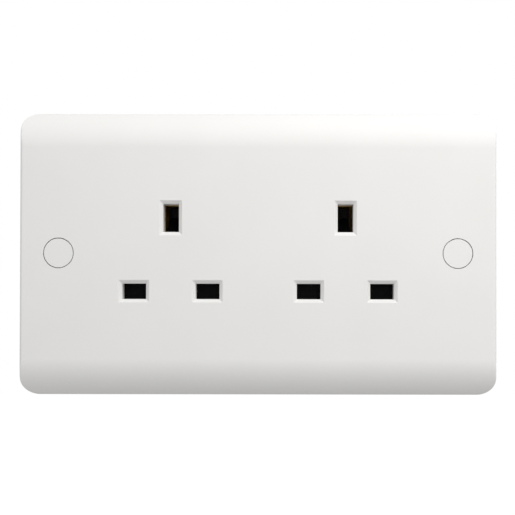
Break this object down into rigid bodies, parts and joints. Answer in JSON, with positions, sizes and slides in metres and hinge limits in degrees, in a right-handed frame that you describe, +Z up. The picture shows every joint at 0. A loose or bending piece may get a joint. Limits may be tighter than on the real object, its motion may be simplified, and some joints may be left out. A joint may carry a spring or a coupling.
{
  "type": "unswitched double socket",
  "caption": "White unswitched double wall socket: a soft-edged moulded plate with sprung shutters, brass contacts and wire terminals in a black rear housing.",
  "frame": {"origin": "middle of the plate between the two fixing screws, on the wall's surface", "axes": "+X along the plate to the right as seen from the room, +Y into the wall, +Z up"},
  "size_m": [0.146, 0.033, 0.086],
  "materials": {
    "white_moulding": "smooth white moulded thermoset with a satin gloss",
    "black_moulding": "black moulded thermoset, slightly matt",
    "black_shutter": "black moulded nylon",
    "brass_strip": "rolled brass strip, slightly dull",
    "brass_block": "cut brass bar",
    "plated_screw": "nickel-plated steel",
    "spring_steel": "drawn spring wire"
  },
  "bodies": {
    "socket": {"front_plate": "white_moulding", "rear_housing": "black_moulding", "screw_cap_left": "white_moulding", "screw_cap_right": "white_moulding", "fixing_screw_left": "plated_screw", "fixing_screw_right": "plated_screw", "shutter_spring_left": "spring_steel", "shutter_spring_right": "spring_steel", "line_bar": "brass_strip", "neutral_bar": "brass_strip", "earth_strap": "brass_strip", "line_terminal": "brass_block", "neutral_terminal": "brass_block", "earth_terminal_left": "brass_block", "earth_terminal_right": "brass_block", "line_terminal_screw": "plated_screw", "neutral_terminal_screw": "plated_screw", "earth_terminal_screw_left": "plated_screw", "earth_terminal_screw_right": "plated_screw", "assembly_screw_upper": "plated_screw", "assembly_screw_lower": "plated_screw", "assembly_screw_left": "plated_screw", "assembly_screw_right": "plated_screw"},
    "left_shutter": {"shutter_left": "black_shutter"},
    "right_shutter": {"shutter_right": "black_shutter"}
  },
  "joints": [
    {"name": "left_shutter_slide", "type": "slide", "parent": "socket", "child": "left_shutter", "axis": [0, 0, -1], "range_m": [0, 0.0054], "stiffness_N_per_m": 120, "springref_m": -0.006, "deforming": ["shutter_spring_left"]},
    {"name": "right_shutter_slide", "type": "slide", "parent": "socket", "child": "right_shutter", "axis": [0, 0, -1], "range_m": [0, 0.0054], "stiffness_N_per_m": 120, "springref_m": -0.006, "deforming": ["shutter_spring_right"]}
  ]
}
